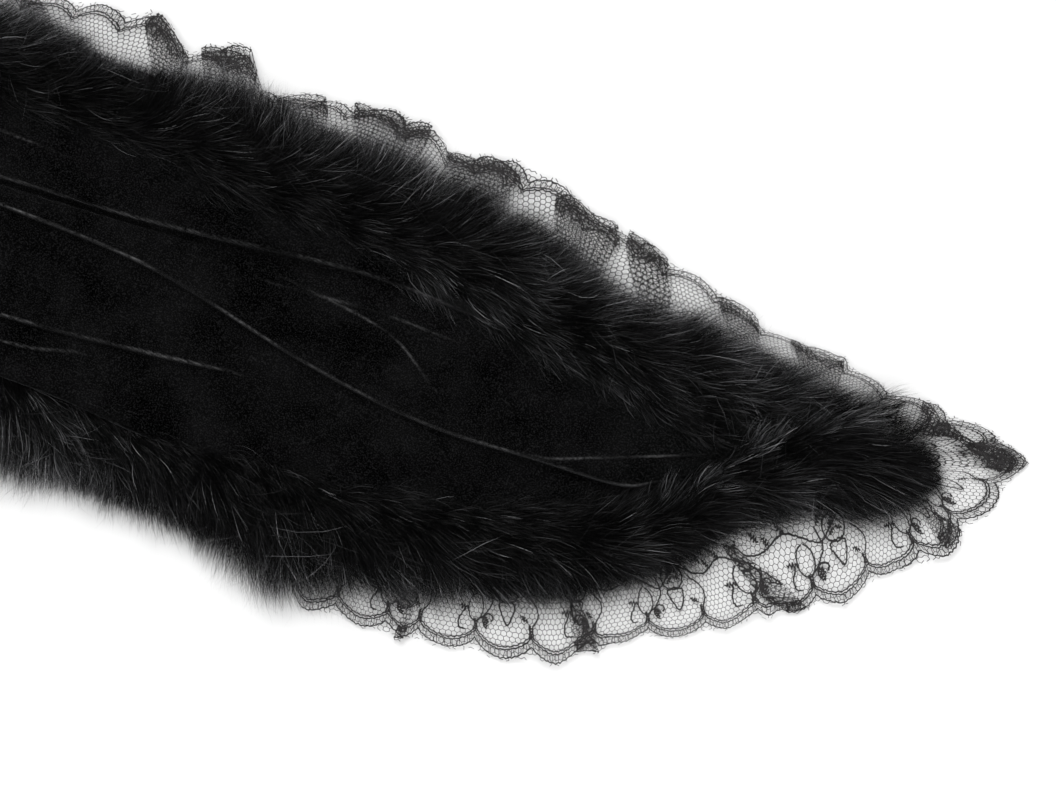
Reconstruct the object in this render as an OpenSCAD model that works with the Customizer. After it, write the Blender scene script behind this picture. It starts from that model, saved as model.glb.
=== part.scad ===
// Velvet stole with a fur border and a gathered lace ruffle, lying flat with its face up.
// X runs along the stole, Y from the hem edge to the neck edge, Z up from the surface it lies on.
// The right half is drawn, and the left half is its mirror image about X = 0.

/* [Overall size] */
// Distance from lace tip to lace tip
stole_length = 1500; // [1300:10:1700]
// Radius of the gentle curve of each end towards the neck edge
bend_radius = 700; // [600:50:1200]
// Angle that each end turns through, in degrees
bend_turn = 22; // [10:1:24]
// Clear gap between neighbouring pieces
piece_gap = 0.3; // [0.2:0.05:0.4]

/* [Half widths of the straight middle] */
// Velvet panel, centreline to edge
velvet_half = 54; // [45:1:60]
// Fur backing, centreline to outer edge
pelt_half = 80; // [74:1:84]
// Fur pile, centreline to the ends of the hairs
pile_half = 94; // [90:1:97]
// Lace ruffle, centreline to scallop crests
lace_half = 103; // [100:1:112]

/* [Points at each end, measured back from the lace tip] */
// Point of the velvet panel
velvet_back = 123; // [110:1:135]
// Point of the fur backing
pelt_back = 54; // [48:1:62]
// Point of the fur pile
pile_back = 33; // [26:1:40]
// Outer end of the mitre between the two fur strips, on the neck side
mitre_back = 60; // [56:1:80]

/* [Layers] */
// Lining thickness
lining_t = 0.6; // [0.4:0.1:0.8]
// Lace band thickness
lace_t = 0.8; // [0.5:0.1:1]
// Ruffle tape thickness
tape_t = 0.6; // [0.4:0.1:0.8]
// Fur backing thickness
pelt_t = 1.2; // [0.8:0.1:1.6]
// Velvet thickness
velvet_t = 1.0; // [0.8:0.1:1.2]
// Top of the fur pile above the surface
pile_top = 20; // [16:1:24]
// Width by which the velvet laps over the fur backing
lap = 9; // [6:1:12]
// Depth of lace held under the fur backing
heading = 6; // [5:1:8]

/* [Trims] */
// Scallop pitch along the lace edge
scallop_pitch = 20; // [16:1:26]
// Scallop depth
scallop_depth = 4; // [2:0.5:6]
// Width of a stitched thread line
thread_w = 0.6; // [0.4:0.1:1]
// Stitch line's distance inside the velvet edge
stitch_inset = 3; // [2:0.5:5]
// Number of stitches across each fur mitre
mitre_stitches = 9; // [5:1:12]

/* [Hidden] */

NECK = 1;
HEM = -1;
panel_steps = 40;
pile_steps = 36;
cap_steps = 6;
// Half the width of the small blunt end where the pile meets the velvet's point
blunt = 1.2;

// The centreline is straight out to bend_start, then an arc to the lace tip.
bend_start = stole_length / 2 - bend_radius * sin(bend_turn);
tip_run = bend_start + bend_radius * bend_turn * PI / 180;
middle_run = tip_run - piece_gap / 2;

// Heights of the undersides of the layers, from the surface up
lace_z = lining_t + piece_gap;
tape_z = lace_z + lace_t + piece_gap;
pelt_z = tape_z + tape_t + piece_gap;
pile_z = pelt_z + pelt_t;
velvet_z = pile_z + piece_gap;
stitch_z = velvet_z + velvet_t + piece_gap;

// A point at a distance back from the tip along the centreline and across it, laid in X and Y
function lay(back, across) =
    let (run = tip_run - back, turn = max(0, run - bend_start) / bend_radius * 180 / PI)
    run <= bend_start
        ? [run, across]
        : [bend_start + (bend_radius - across) * sin(turn), bend_radius - (bend_radius - across) * cos(turn)];

// Share of the full half width, from 0 at a point to 1 where the edges run straight
function taper(back, start, run, power) =
    let (u = min(1, max(0, (back - start) / run)))
    pow(1 - (1 - u) * (1 - u), power);

// Edge curves: the neck edge runs in to the point slowly, and the hem edge is fuller.
function velvet_edge(side, back, inset = 0) =
    side * (velvet_half - inset) * (side == NECK
        ? taper(back, velvet_back + 2 * inset, 300, 0.75)
        : taper(back, velvet_back + 2 * inset, 220, 0.4));
function pelt_edge(side, back, inset = 0) =
    side * (pelt_half - inset) * (side == NECK
        ? taper(back, pelt_back + inset, 320, 0.75)
        : taper(back, pelt_back + inset, 230, 0.8));
function pile_edge(side, back) =
    side * pile_half * (side == NECK
        ? taper(back, pile_back, 330, 0.75)
        : taper(back, pile_back, 240, 0.8));
function lace_edge(side, back) =
    let (full = side == NECK ? taper(back, 0, 330, 0.75) : taper(back, 0, 240, 0.85))
    side * (lace_half * full - scallop_depth * min(1, full * 2) * (1 - abs(sin(180 * back / scallop_pitch))));

// Distances back from a point to the middle, closer together near the point
function backs(start, count = panel_steps) =
    [for (i = [0:count]) start + (middle_run - start) * pow(i / count, 2)];
function reversed(list) = [for (i = [len(list) - 1:-1:0]) list[i]];

// Places a right-hand piece, or its mirror image for the left half
module on(side_name) {
    if (side_name == "left")
        mirror([1, 0, 0]) children();
    else
        children();
}

// A panel between the neck and hem curves
module panel(z, t, points_neck, points_hem) {
    translate([0, 0, z])
        linear_extrude(t)
            polygon(concat(points_neck, reversed(points_hem)));
}

module velvet_face(side_name) {
    color("#0b0b0c")
        on(side_name)
            panel(velvet_z, velvet_t,
                [for (b = backs(velvet_back)) lay(b, velvet_edge(NECK, b))],
                [for (b = backs(velvet_back)) if (b > velvet_back) lay(b, velvet_edge(HEM, b))]);
}

// The interlining fills the space inside the fur backings.
module interlining(side_name) {
    inset = lap + 2 * piece_gap;
    start = velvet_back + 2 * inset;
    color("#8f8f8c")
        on(side_name)
            panel(lace_z, pile_z - lace_z,
                [for (b = backs(start)) lay(b, velvet_edge(NECK, b, inset))],
                [for (b = backs(start)) if (b > start) lay(b, velvet_edge(HEM, b, inset))]);
}

module lining(side_name) {
    color("#141416")
        on(side_name)
            panel(0, lining_t,
                [for (b = backs(pelt_back)) lay(b, pelt_edge(NECK, b))],
                [for (b = backs(pelt_back)) if (b > pelt_back) lay(b, pelt_edge(HEM, b))]);
}

// Sections of a fur pile, in shares of the strip's width and of the pile's height
PILE_SECTION = [[0, 0], [0, 0.3], [0.1, 0.72], [0.32, 1], [0.62, 0.93], [0.86, 0.55], [1, 0.15], [1, 0]];

// A pile swept over pairs of inner and outer points
module pile(inner, outer) {
    m = len(PILE_SECTION);
    n = len(inner);
    height = pile_top - pile_z;
    points = [for (i = [0:n - 1]) for (s = PILE_SECTION)
        let (p = inner[i] + (outer[i] - inner[i]) * s[0])
        [p.x, p.y, pile_z + height * s[1]]];
    sides = [for (i = [0:n - 2]) for (j = [0:m - 1])
        let (a = i * m + j, b = i * m + (j + 1) % m)
        each [[a, b, b + m], [a, b + m, a + m]]];
    first_end = [for (j = [m - 1:-1:0]) j];
    last_end = [for (j = [0:m - 1]) (n - 1) * m + j];
    polyhedron(points, concat(sides, [first_end, last_end]));
}

// The neck strip stops at the mitre, and the hem strip wraps round the point of the stole.
function pile_inner(side) =
    [for (b = backs(velvet_back - piece_gap, pile_steps))
        lay(b, velvet_edge(side, b) + side * (blunt + piece_gap))];
function pile_outer(side) =
    side == NECK
        ? [for (b = backs(mitre_back, pile_steps)) lay(b, pile_edge(NECK, b))]
        : [for (b = backs(pile_back, pile_steps)) lay(b, pile_edge(HEM, b))];
cap_inner = [for (i = [0:cap_steps - 1]) lay(velvet_back - piece_gap, blunt * (1 - 2 * i / cap_steps))];
cap_outer = [for (i = [0:cap_steps - 1])
    let (b = pile_back + (mitre_back - 2 * piece_gap - pile_back) * pow(1 - i / cap_steps, 2))
    lay(b, pile_edge(NECK, b))];

// Fur backings under the pile and under the lap of the velvet
pelt_mitre_back = mitre_back + 8;
function pelt_inner(side) =
    [for (b = backs(velvet_back + 2 * lap)) lay(b, velvet_edge(side, b, lap) + side * piece_gap / 2)];
function pelt_outer(side, start) = [for (b = backs(start)) lay(b, pelt_edge(side, b))];
pelt_cap = [for (i = [0:cap_steps - 1])
    let (b = pelt_back + (pelt_mitre_back - piece_gap - pelt_back) * pow(1 - i / cap_steps, 2))
    lay(b, pelt_edge(NECK, b))];

module fur_trim_neck(side_name) {
    color("#1c1c1e")
        on(side_name) {
            panel(pelt_z, pelt_t, pelt_outer(NECK, pelt_mitre_back), pelt_inner(NECK));
            pile(reversed(pile_inner(NECK)), reversed(pile_outer(NECK)));
        }
}

module fur_trim_hem(side_name) {
    color("#232325")
        on(side_name) {
            panel(pelt_z, pelt_t, concat(pelt_cap, pelt_outer(HEM, pelt_back)), pelt_inner(HEM));
            pile(concat(cap_inner, pile_inner(HEM)), concat(cap_outer, pile_outer(HEM)));
        }
}

// Evenly spaced distances for the scalloped edge
lace_steps = round(middle_run / scallop_pitch * 6);
function lace_outer(side) =
    [for (i = [0:lace_steps])
        let (b = middle_run * i / lace_steps)
        lay(b, lace_edge(side, b) + side * piece_gap / 2)];

module lace_ruffle(side, side_name) {
    start = pelt_back + heading;
    color("#2a2523")
        on(side_name)
            panel(lace_z, lace_t, lace_outer(side),
                [for (b = backs(start)) lay(b, pelt_edge(side, b, heading) + side * piece_gap / 2)]);
}

module ruffle_tape(side, side_name) {
    tape_in = heading + 1;
    tape_out = 1;
    color("#101011")
        on(side_name)
            panel(tape_z, tape_t,
                [for (b = backs(pelt_back + tape_out)) lay(b, pelt_edge(side, b, tape_out) + side * piece_gap / 2)],
                [for (b = backs(pelt_back + tape_in)) lay(b, pelt_edge(side, b, tape_in) + side * piece_gap / 2)]);
}

module edge_stitching(side, side_name) {
    outer = stitch_inset;
    inner = stitch_inset + thread_w;
    start = velvet_back + 3 * inner;
    color("#050505")
        on(side_name)
            panel(stitch_z, thread_w / 2,
                [for (b = backs(start)) lay(b, velvet_edge(side, b, outer))],
                [for (b = backs(start)) lay(b, velvet_edge(side, b, inner))]);
}

// Stitches across the butt of the two fur backings, on their underside
module mitre_stitching(side_name) {
    stitch_l = 5;
    inner_back = velvet_back + 2 * lap - stitch_l;
    outer_back = pelt_mitre_back + 3 * heading;
    from = lay(inner_back, 0);
    to = lay(outer_back, pelt_edge(NECK, outer_back, 2 * heading + thread_w) - stitch_l / 2);
    run = to - from;
    turn = atan2(run.y, run.x);
    color("#050505")
        on(side_name)
            for (i = [0:mitre_stitches - 1])
                translate([from.x, from.y, tape_z] + concat(run * (i + 0.5) / mitre_stitches, [0]))
                    rotate(turn)
                        cube([thread_w, stitch_l, tape_t]);
}

module centre_back_stitching() {
    stitch_x = 1.5;
    seam_end = velvet_half - 2 * stitch_inset;
    color("#050505")
        translate([-stitch_x - thread_w, -seam_end, stitch_z])
            cube([thread_w, 2 * seam_end, thread_w / 2]);
}

velvet_face("left");  // velvet_face_left
velvet_face("right");  // velvet_face_right
interlining("left");  // interlining_left
interlining("right");  // interlining_right
lining("left");  // lining_left
lining("right");  // lining_right
fur_trim_neck("left");  // fur_trim_neck_left
fur_trim_neck("right");  // fur_trim_neck_right
fur_trim_hem("left");  // fur_trim_hem_left
fur_trim_hem("right");  // fur_trim_hem_right
lace_ruffle(NECK, "left");  // lace_ruffle_neck_left
lace_ruffle(NECK, "right");  // lace_ruffle_neck_right
lace_ruffle(HEM, "left");  // lace_ruffle_hem_left
lace_ruffle(HEM, "right");  // lace_ruffle_hem_right
ruffle_tape(NECK, "left");  // ruffle_tape_neck_left
ruffle_tape(NECK, "right");  // ruffle_tape_neck_right
ruffle_tape(HEM, "left");  // ruffle_tape_hem_left
ruffle_tape(HEM, "right");  // ruffle_tape_hem_right
edge_stitching(NECK, "left");  // edge_stitching_neck_left
edge_stitching(NECK, "right");  // edge_stitching_neck_right
edge_stitching(HEM, "left");  // edge_stitching_hem_left
edge_stitching(HEM, "right");  // edge_stitching_hem_right
mitre_stitching("left");  // mitre_stitching_left
mitre_stitching("right");  // mitre_stitching_right
centre_back_stitching();
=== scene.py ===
"""A black velvet stole with a fur border and a gathered lace ruffle, lying face up on a pale floor.

Lengths are millimetres until a mesh is made. A place on the stole is (back, across): back is the distance
from the lace tip along the curved centreline, and across is positive towards the neck edge.
"""
import math

import bpy
import numpy as np
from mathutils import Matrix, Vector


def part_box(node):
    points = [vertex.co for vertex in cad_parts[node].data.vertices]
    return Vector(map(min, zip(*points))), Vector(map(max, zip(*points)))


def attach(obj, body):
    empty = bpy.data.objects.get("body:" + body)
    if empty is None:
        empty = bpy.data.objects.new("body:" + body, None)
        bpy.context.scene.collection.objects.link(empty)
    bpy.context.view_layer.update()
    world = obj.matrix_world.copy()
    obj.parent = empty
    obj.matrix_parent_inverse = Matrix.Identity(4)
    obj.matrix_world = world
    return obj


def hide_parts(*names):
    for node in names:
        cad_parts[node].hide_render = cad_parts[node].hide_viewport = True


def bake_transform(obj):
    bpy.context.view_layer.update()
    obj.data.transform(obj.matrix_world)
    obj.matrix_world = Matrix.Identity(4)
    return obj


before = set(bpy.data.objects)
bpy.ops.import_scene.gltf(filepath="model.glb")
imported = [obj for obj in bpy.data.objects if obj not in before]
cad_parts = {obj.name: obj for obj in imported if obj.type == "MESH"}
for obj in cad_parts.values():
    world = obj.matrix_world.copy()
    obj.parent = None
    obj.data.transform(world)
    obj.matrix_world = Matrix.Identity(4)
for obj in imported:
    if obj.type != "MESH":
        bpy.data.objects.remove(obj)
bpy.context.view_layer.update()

MM = 0.001
NECK, HEM = 1, -1
EDGE_NAME = {NECK: "neck", HEM: "hem"}
HALVES = ("right", "left")
BODY = {"right": "right_half", "left": "left_half"}


def low(node, axis):
    """Where the CAD node's box starts on an axis, in millimetres."""
    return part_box(node)[0][axis] / MM


def high(node, axis):
    """Where the CAD node's box ends on an axis, in millimetres."""
    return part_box(node)[1][axis] / MM


# ---------------------------------------------------------------- shape of the stole, as in the CAD model
TIP_X = high("lace_ruffle_hem_right", 0)
BEND_RADIUS = 700.0
BEND_TURN = math.radians(22)
BEND_START = TIP_X - BEND_RADIUS * math.sin(BEND_TURN)
TIP_RUN = BEND_START + BEND_RADIUS * BEND_TURN

VELVET_HALF = -low("velvet_face_right", 1)
PELT_HALF = -low("lining_right", 1)
LACE_HALF = -low("lace_ruffle_hem_right", 1)
# Where the velvet's point, the fur backing's point and the far end of the mitre seam lie.
VELVET_BACK, PELT_BACK, MITRE_BACK = 123.0, 54.0, 60.0
MITRE_ACROSS, MITRE_REACH = -2.5, 29.0

LACE_Z = low("lace_ruffle_hem_right", 2)
TAPE_Z = low("ruffle_tape_hem_right", 2)
PELT_Z = low("fur_trim_hem_right", 2)
PELT_THICKNESS = 1.2
PELT_TOP = PELT_Z + PELT_THICKNESS
VELVET_Z = high("velvet_face_right", 2)
PILE_TOP = high("fur_trim_hem_right", 2)
# Each half ends this far short of the centre-back seam.
MIDDLE = 0.15
SEAM_BACK = TIP_RUN - MIDDLE


def smooth(x):
    """A soft step that climbs from 0 to 1 while x does."""
    x = np.clip(x, 0, 1)
    return x * x * (3 - 2 * x)


def between(x, start, end, run_in, run_out):
    """1 between start and end, falling softly to 0 outside them."""
    return smooth((x - start) / run_in) * smooth((end - x) / run_out)


def bell(x, middle, width):
    """A smooth hump of height 1."""
    return np.exp(-(((x - middle) / width) ** 2))


def at_back(table, back, column=1):
    """A value from a table whose rows start with back."""
    table = np.array(table, float)
    return np.interp(back, table[:, 0], table[:, column])


def taper(back, start, run, power):
    """Growth of a width from 0 at the start of a pointed end to 1 at the end of its run."""
    u = np.clip((np.asarray(back, float) - start) / run, 0, 1)
    return (1 - (1 - u) ** 2) ** power


# How far along each layer widens from its pointed end, and how bluntly it starts (lower is blunter).
VELVET_TAPER = {NECK: (300, 0.75), HEM: (220, 0.4)}
PELT_TAPER = {NECK: (320, 0.75), HEM: (230, 0.8)}
LACE_TAPER = {NECK: (330, 0.75), HEM: (240, 0.85)}
# The velvet's hem-side edge swells out a little round one place.
VELVET_BULGE, VELVET_BULGE_BACK, VELVET_BULGE_RUN = 3.5, 340.0, 30.0


def velvet_edge(side, back):
    """Across position of the velvet's edge on one side."""
    edge = VELVET_HALF * taper(back, VELVET_BACK, *VELVET_TAPER[side])
    if side == HEM:
        edge = edge + VELVET_BULGE * bell(np.asarray(back), VELVET_BULGE_BACK, VELVET_BULGE_RUN)
    return side * edge


# Where the fur backing stands in from its even curve, as (back, millimetres).
PELT_DENT = {NECK: [(135, 0), (160, 6), (175, 7), (210, 0)],
             HEM: [(55, 0), (90, 12), (105, 14), (130, 7), (170, 0)]}


def pelt_edge(side, back, inset=0.0):
    """Across position of the fur backing's outer edge, or of a line inset from it."""
    even = (PELT_HALF - inset) * taper(back, PELT_BACK + inset, *PELT_TAPER[side])
    return side * np.maximum(0, even - at_back(PELT_DENT[side], back))


def lace_edge(side, back):
    return side * LACE_HALF * taper(back, 0, *LACE_TAPER[side])


def mitre_line(back):
    """Across position of the seam between the two fur strips, from the velvet's point to the neck edge."""
    return MITRE_ACROSS + (VELVET_BACK - back) / (VELVET_BACK - MITRE_BACK) * MITRE_REACH


def turn_at(back):
    """How far the curved end has turned at a place, in radians."""
    return np.maximum(0, TIP_RUN - np.asarray(back, float) - BEND_START) / BEND_RADIUS


def lay(back, across):
    """X and Y of places on the right half."""
    run = TIP_RUN - np.asarray(back, float)
    across = np.asarray(across, float)
    turn = turn_at(back)
    x = np.where(run <= BEND_START, run, BEND_START + (BEND_RADIUS - across) * np.sin(turn))
    y = np.where(run <= BEND_START, across, BEND_RADIUS - (BEND_RADIUS - across) * np.cos(turn))
    return x, y


def waves(x, y, scale, seed, count=7):
    """Smooth noise of about -1 to 1 whose features are about scale millimetres across."""
    rng = np.random.default_rng(seed)
    total = np.zeros(np.broadcast(x, y).shape)
    for _ in range(count):
        angle, phase = rng.uniform(0, 2 * math.pi, 2)
        pitch = scale * rng.uniform(0.7, 1.6)
        total += np.sin(2 * math.pi * (x * math.cos(angle) + y * math.sin(angle)) / pitch + phase)
    return total / math.sqrt(count)


def curve_through(points, steps=16):
    """A dense smooth curve through a few points (Catmull-Rom)."""
    p = np.array(points, float)
    p = np.vstack([2 * p[0] - p[1], p, 2 * p[-1] - p[-2]])
    out = []
    for a, b, c, d in zip(p, p[1:], p[2:], p[3:]):
        for t in np.linspace(0, 1, steps, endpoint=False):
            out.append(0.5 * (2 * b + (c - a) * t + (2 * a - 5 * b + 4 * c - d) * t**2
                              + (3 * b - a - 3 * c + d) * t**3))
    return np.array(out + [p[-2]])


# ---------------------------------------------------------------- meshes
def mesh_piece(name, points, quads=None, tris=None, left=False, is_smooth=True):
    """An object from points in millimetres on the right half, mirrored for the left half."""
    points = np.array(points, float) * MM
    quads = np.zeros((0, 4), int) if quads is None else np.asarray(quads, int)
    tris = np.zeros((0, 3), int) if tris is None else np.asarray(tris, int)
    if left:
        points[:, 0] *= -1
        quads, tris = quads[:, ::-1], tris[:, ::-1]
    mesh = bpy.data.meshes.new(name)
    mesh.vertices.add(len(points))
    mesh.vertices.foreach_set("co", points.astype(np.float32).ravel())
    loops = np.concatenate([quads.ravel(), tris.ravel()]).astype(np.int32)
    mesh.loops.add(len(loops))
    mesh.loops.foreach_set("vertex_index", loops)
    starts = np.concatenate([np.arange(len(quads)) * 4, len(quads) * 4 + np.arange(len(tris)) * 3])
    mesh.polygons.add(len(starts))
    mesh.polygons.foreach_set("loop_start", starts.astype(np.int32))
    mesh.update(calc_edges=True)
    mesh.polygons.foreach_set("use_smooth", np.full(len(starts), is_smooth))
    piece = bpy.data.objects.new(name, mesh)
    bpy.context.scene.collection.objects.link(piece)
    return piece


def grid_piece(name, x, y, z, left, flip=False, closing=()):
    """A skin over a grid of points; closing holds further quads between its border points."""
    rows, columns = x.shape
    i, j = np.meshgrid(np.arange(rows - 1), np.arange(columns - 1), indexing="ij")
    a = (i * columns + j).ravel()
    quads = np.concatenate([np.stack([a, a + 1, a + columns + 1, a + columns], 1), *closing])
    points = np.stack([x.ravel(), y.ravel(), z.ravel()], 1)
    return mesh_piece(name, points, quads=quads[:, ::-1] if flip else quads, left=left)


def over_and_under(x, y, top, under):
    """Rows that run over the top and back underneath, with the quads that join their two ends."""
    x, y, z = (np.concatenate([a, b[:, ::-1]], 1) for a, b in ((x, x), (y, y), (top, under)))
    rows, columns = x.shape
    row = np.arange(rows - 1) * columns
    return x, y, z, np.stack([row + columns - 1, row, row + columns, row + 2 * columns - 1], 1)


def rows_and_shares(rows, columns):
    return np.meshgrid(rows, np.linspace(0, 1, columns), indexing="ij")


def up_to_seam(start, step):
    """Places from a start to the centre-back seam."""
    return np.append(np.arange(start, SEAM_BACK, step), SEAM_BACK)


def plan_map(piece, name="OFBake"):
    """A map of the piece as seen in plan, which suits thin pieces that lie flat, such as hair and thread."""
    mesh = piece.data
    points = np.zeros(len(mesh.vertices) * 3, np.float32)
    mesh.vertices.foreach_get("co", points)
    points = points.reshape(-1, 3)[:, :2]
    lowest, size = points.min(0), max(np.ptp(points[:, 0]), np.ptp(points[:, 1]))
    index = np.zeros(len(mesh.loops), np.int32)
    mesh.loops.foreach_get("vertex_index", index)
    layer = mesh.uv_layers.new(name=name)
    layer.data.foreach_set("uv", ((points - lowest) / size)[index].astype(np.float32).ravel())


def float_attribute(piece, name, values):
    attribute = piece.data.attributes.new(name, "FLOAT", "POINT")
    attribute.data.foreach_set("value", np.asarray(values, np.float32).ravel())


def finish_piece(piece, half, materials, nodes, crosses_fold):
    """Gives a piece its materials, the bodies it moves with and the CAD nodes it replaces."""
    for material in materials:
        piece.data.materials.append(material)
    if crosses_fold:
        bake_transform(piece)
    else:
        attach(piece, BODY[half])
    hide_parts(*nodes)


# ---------------------------------------------------------------- materials
def new_material(name, **values):
    material = bpy.data.materials.new(name)
    material.use_nodes = True
    shader = material.node_tree.nodes["Principled BSDF"]
    for socket, value in values.items():
        shader.inputs[socket.replace("_", " ")].default_value = value
    return material, shader


def node(material, kind, **inputs):
    made = material.node_tree.nodes.new(kind)
    for socket, value in inputs.items():
        made.inputs[socket].default_value = value
    return made


def link(material, source, target):
    material.node_tree.links.new(source, target)


def noise(material, scale, detail=4.0, roughness=0.6):
    where = node(material, "ShaderNodeTexCoord")
    made = node(material, "ShaderNodeTexNoise", Scale=scale, Detail=detail, Roughness=roughness)
    link(material, where.outputs["Object"], made.inputs["Vector"])
    return made


def ramp(material, source, low_colour, high_colour, start=0.3, end=0.7):
    made = node(material, "ShaderNodeValToRGB")
    made.color_ramp.elements[0].position = start
    made.color_ramp.elements[0].color = (*low_colour, 1)
    made.color_ramp.elements[1].position = end
    made.color_ramp.elements[1].color = (*high_colour, 1)
    link(material, source, made.inputs["Fac"])
    return made


def colour_mix(material, factor, first, second, blend="MIX"):
    """Two colours mixed. Each value is a plain one or the socket that it comes from."""
    made = node(material, "ShaderNodeMix")
    made.data_type, made.blend_type = "RGBA", blend
    for socket, value in ((made.inputs["Factor"], factor), (made.inputs[6], first), (made.inputs[7], second)):
        if isinstance(value, bpy.types.NodeSocket):
            link(material, value, socket)
        else:
            socket.default_value = value
    return made.outputs[2]


def bump(material, shader, source, strength, distance):
    made = node(material, "ShaderNodeBump", Strength=strength, Distance=distance)
    link(material, source, made.inputs["Height"])
    link(material, made.outputs["Normal"], shader.inputs["Normal"])


def grey(value):
    return (value, value, value * 1.04)


def velvet_material():
    material, shader = new_material(
        "black_velvet", Roughness=0.95, Specular_IOR_Level=0.0, Sheen_Weight=0.35, Sheen_Roughness=0.3,
        Sheen_Tint=(0.5, 0.5, 0.52, 1))
    patches = noise(material, 45, 5)
    tone = ramp(material, patches.outputs["Fac"], grey(0.0), grey(0.0032), 0.35, 0.7)
    grain = noise(material, 1700, 2)
    grain_tone = ramp(material, grain.outputs["Fac"], grey(0.0), grey(0.0125), 0.48, 0.8)
    pile = colour_mix(material, 1, tone.outputs["Color"], grain_tone.outputs["Color"], "ADD")
    # Painted highlight: a pale colour along the pleat crests, broken into streaks, stands in for the sheen
    # lines on the folds.
    crest = node(material, "ShaderNodeAttribute")
    crest.attribute_name = "crest"
    broken = node(material, "ShaderNodeMath")
    broken.operation = "MULTIPLY"
    streaks = noise(material, 420, 4, 0.75)
    gaps = ramp(material, streaks.outputs["Fac"], (0, 0, 0), (1, 1, 1), 0.36, 0.66)
    link(material, crest.outputs["Fac"], broken.inputs[0])
    link(material, gaps.outputs["Color"], broken.inputs[1])
    crest_highlight = colour_mix(material, broken.outputs["Value"], pile, (0.15, 0.15, 0.153, 1))
    link(material, crest_highlight, shader.inputs["Base Color"])
    bump(material, shader, grain.outputs["Fac"], 0.6, 0.0005)
    return material


def satin_material():
    material, shader = new_material("black_satin_lining", Roughness=0.42, Specular_IOR_Level=0.08,
                                    Sheen_Weight=0.04, Sheen_Tint=(0.6, 0.6, 0.65, 1))
    weave = node(material, "ShaderNodeTexWave", Scale=900, Distortion=1.5)
    where = node(material, "ShaderNodeTexCoord")
    link(material, where.outputs["Object"], weave.inputs["Vector"])
    tone = ramp(material, weave.outputs["Fac"], grey(0.003), grey(0.01), 0.2, 0.8)
    link(material, tone.outputs["Color"], shader.inputs["Base Color"])
    bump(material, shader, weave.outputs["Fac"], 0.15, 0.0001)
    return material


def hair_material(name, roots, tips, roughness, specular):
    """Hair whose colour runs from roots to tips by the tone laid on each strand."""
    material, shader = new_material(name, Roughness=roughness, Specular_IOR_Level=specular)
    strand = node(material, "ShaderNodeAttribute")
    strand.attribute_name = "tone"
    colour = ramp(material, strand.outputs["Fac"], grey(roots), grey(tips), 0.0, 1.0)
    link(material, colour.outputs["Color"], shader.inputs["Base Color"])
    return material


def thread_material(name, dark, pale, tint=(1, 0.92, 0.86)):
    material, shader = new_material(name, Roughness=0.7, Specular_IOR_Level=0.2)
    fibres = noise(material, 900, 3)
    darkest, palest = (tuple(value * part for part in tint) for value in (dark, pale))
    tone = ramp(material, fibres.outputs["Fac"], darkest, palest)
    link(material, tone.outputs["Color"], shader.inputs["Base Color"])
    return material


def felt_material(name, dark, pale):
    material, shader = new_material(name, Roughness=0.95, Specular_IOR_Level=0.1)
    fibres = noise(material, 500, 6, 0.75)
    tone = ramp(material, fibres.outputs["Fac"], grey(dark), grey(pale))
    link(material, tone.outputs["Color"], shader.inputs["Base Color"])
    bump(material, shader, fibres.outputs["Fac"], 0.6, 0.0005)
    return material


VELVET = velvet_material()
SATIN = satin_material()
UNDERFUR = hair_material("fur_underwool", 0.0003, 0.03, 0.75, 0.02)
# The guard hairs' pale tips are partly the hairs' own tone and partly painted highlight.
GUARD = hair_material("fur_guard_hair", 0.0004, 0.5, 0.24, 0.05)
SKIN = felt_material("fur_backing", 0.0004, 0.0012)
NET = thread_material("lace_thread", 0.008, 0.03, (1, 0.93, 0.96))
TAPE = felt_material("grosgrain_tape", 0.006, 0.014)
FLEECE = felt_material("fleece_interlining", 0.22, 0.36)
THREAD = thread_material("sewing_thread", 0.001, 0.004, (1, 1, 1))


# ---------------------------------------------------------------- velvet
def pleat(height, ramp_width, steep_width, lean, crest, *line):
    """A soft pleat along (back, across) points; lean says which side is steep, crest how strong the painted
    highlight along its top is.
    """
    return dict(height=height, ramp=ramp_width, steep=steep_width, lean=lean, crest=crest, at=line)


PLEATS = [
    pleat(3.6, 9, 0.9, HEM, 1.0, (440, 12), (365, 8), (295, -7), (240, -15), (195, -17), (160, -20),
          (145, -16)),
    pleat(1.6, 5, 0.8, HEM, 0.8, (190, -16), (160, -9), (125, -2)),
    pleat(3.2, 8, 0.9, HEM, 0.7, (520, 16), (430, 22), (370, 25), (280, 34), (220, 31)),
    pleat(1.2, 5, 0.8, HEM, 0.45, (315, 18), (270, 21), (240, 20)),
    pleat(1.5, 6, 1.0, NECK, 0.45, (310, 21), (265, 14), (240, -2)),
    pleat(3.2, 7, 1.0, HEM, 0.9, (520, -32), (415, -30), (365, -26), (320, -21)),
    pleat(1.8, 4, 0.9, HEM, 0.5, (500, -43), (410, -40), (380, -34)),
    pleat(1.6, 4, 0.9, HEM, 0.6, (240, -48), (180, -43), (150, -31)),
    pleat(1.0, 6, 1.0, NECK, 0.3, (500, 41), (410, 38)),
    pleat(3.2, 10, 1.0, HEM, 0.8, (760, 8), (690, 14), (600, 6), (520, 14), (430, 12)),
    pleat(2.6, 9, 1.0, HEM, 0.7, (760, -22), (680, -30), (590, -24), (500, -33)),
    pleat(2.4, 8, 1.1, NECK, 0.6, (740, 34), (660, 28), (560, 36), (480, 30)),
]
# A long dark slit beside one pleat.
SLIT = [(560, 14), (430, 20), (370, 23), (285, 29)]
SLIT_HALF, SLIT_DEPTH = 1.5, 3.4
CREST_OFFSET, CREST_WIDTH = 0.25, 0.36
HEM_OVERHANG, EDGE_ROLL, SEAM_DEPTH = 2.6, 2.2, 0.7


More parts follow.
